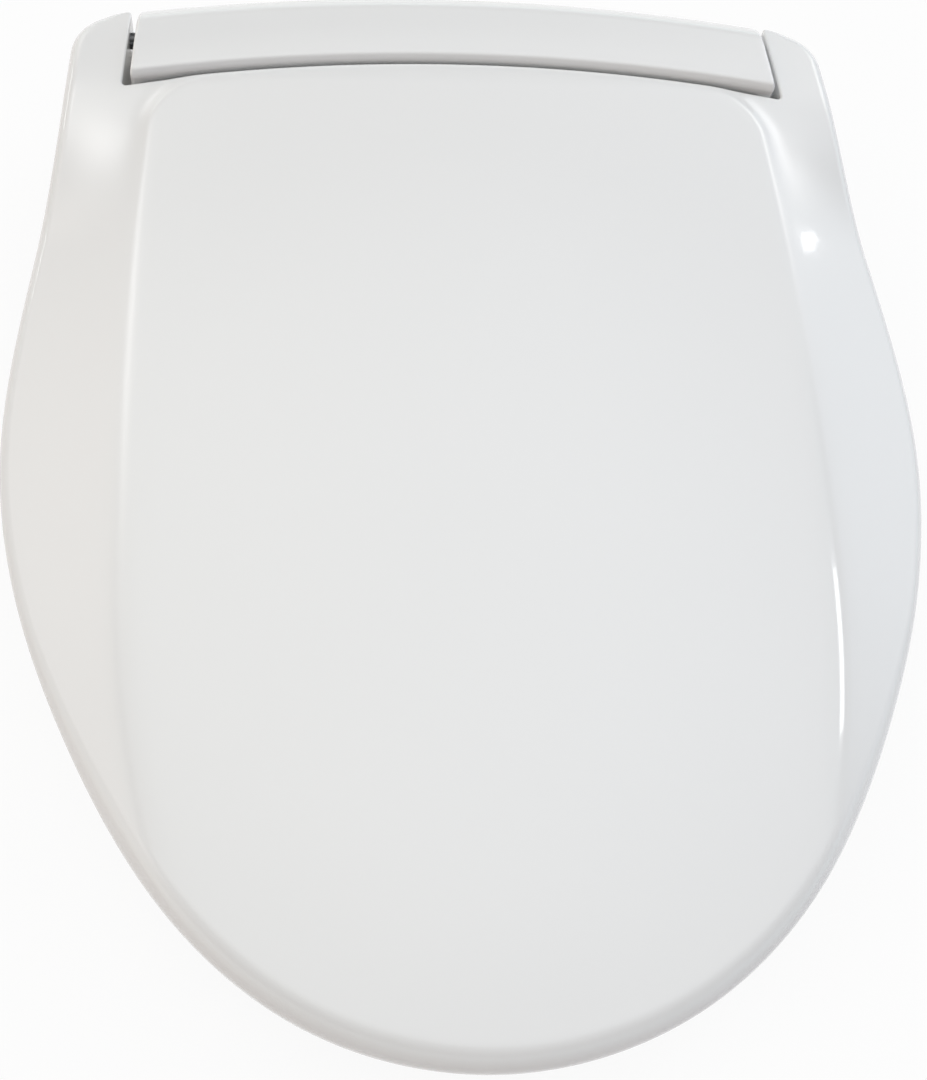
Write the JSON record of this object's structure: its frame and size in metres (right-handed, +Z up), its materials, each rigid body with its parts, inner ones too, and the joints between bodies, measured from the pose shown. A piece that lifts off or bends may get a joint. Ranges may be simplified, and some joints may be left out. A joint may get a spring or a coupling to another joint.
{
  "type": "electric bidet seat",
  "caption": "Electric bidet seat with a closed crowned lid, a heated ring on soft-close hinges, and a rear body with sliding wash nozzles.",
  "frame": {"origin": "midway between the two bowl bolts, on the bowl's rim", "axes": "+Z up, +Y to the rear, +X to the right as seen by someone facing the seat from the front"},
  "size_m": [0.3799, 0.453, 0.0765],
  "materials": {
    "lid_white": "gloss white moulded plastic",
    "body_white": "gloss white moulded plastic",
    "seat_white": "gloss white moulded plastic",
    "under_white": "satin white moulded plastic",
    "bracket_grey": "satin grey moulded plastic",
    "soft_grey": "matt grey rubber",
    "steel": "plain steel",
    "damper_black": "satin black moulded plastic",
    "nozzle_white": "gloss white moulded plastic",
    "tip_grey": "satin grey moulded plastic",
    "seal_black": "matt black rubber",
    "valve_white": "satin natural plastic",
    "pipe_white": "satin milky moulded plastic",
    "board_green": "satin circuit board",
    "button_grey": "satin light grey plastic",
    "foil": "dull foil",
    "inlet_metal": "plated brass"
  },
  "bodies": {
    "base": {"lower_case": "under_white", "top_cover": "body_white", "mounting_bracket": "bracket_grey", "case_screws": "steel", "base_pads": "soft_grey", "hinge_damper_left": "damper_black", "hinge_damper_right": "damper_black", "nozzle_cylinders": "valve_white", "nozzle_bushes": "valve_white", "water_inlet": "inlet_metal", "inlet_filter": "valve_white", "inlet_valve": "valve_white", "water_heater": "valve_white", "diverter_valve": "valve_white", "inlet_pipe": "pipe_white", "heater_pipe": "pipe_white", "rear_wash_pipe": "pipe_white", "front_wash_pipe": "pipe_white", "control_board": "board_green", "button_board": "board_green", "cord_gland": "seal_black", "latch_spring": "steel", "rear_return_spring": "steel", "front_return_spring": "steel"},
    "seat": {"seat_upper_shell": "seat_white", "seat_lower_shell": "under_white", "seat_heater": "foil", "seat_bumpers": "soft_grey", "seat_hinge_shaft": "steel"},
    "lid": {"lid": "lid_white", "lid_bumpers": "soft_grey", "lid_hinge_shaft": "steel"},
    "rear_nozzle": {"rear_wash_nozzle": "nozzle_white", "rear_spray_tip": "tip_grey", "rear_piston_seal": "seal_black"},
    "front_nozzle": {"front_wash_nozzle": "nozzle_white", "front_spray_tip": "tip_grey", "front_piston_seal": "seal_black"},
    "latch": {"release_latch": "button_grey"},
    "power_button": {"power_button": "button_grey"},
    "wash_button": {"wash_button": "button_grey"}
  },
  "joints": [
    {"name": "seat_hinge", "type": "hinge", "parent": "base", "child": "seat", "pos_m": [0, 0.025, 0.0625], "axis": [-1, 0, 0], "range_deg": [0, 95]},
    {"name": "lid_hinge", "type": "hinge", "parent": "seat", "child": "lid", "pos_m": [0, 0.025, 0.0625], "axis": [1, 0, 0], "range_deg": [-95, 0]},
    {"name": "rear_nozzle_slide", "type": "slide", "parent": "base", "child": "rear_nozzle", "axis": [0, -0.9703, -0.2419], "range_m": [0, 0.078], "stiffness_N_per_m": 20, "deforming": ["rear_return_spring"]},
    {"name": "front_nozzle_slide", "type": "slide", "parent": "base", "child": "front_nozzle", "axis": [0, -0.9703, -0.2419], "range_m": [0, 0.078], "stiffness_N_per_m": 20, "deforming": ["front_return_spring"]},
    {"name": "latch_press", "type": "slide", "parent": "base", "child": "latch", "axis": [-1, 0, 0], "range_m": [0, 0.006], "stiffness_N_per_m": 600, "deforming": ["latch_spring"]},
    {"name": "power_button_press", "type": "slide", "parent": "base", "child": "power_button", "axis": [-1, 0, 0], "range_m": [0, 0.0015], "stiffness_N_per_m": 400},
    {"name": "wash_button_press", "type": "slide", "parent": "base", "child": "wash_button", "axis": [-1, 0, 0], "range_m": [0, 0.0015], "stiffness_N_per_m": 400}
  ]
}
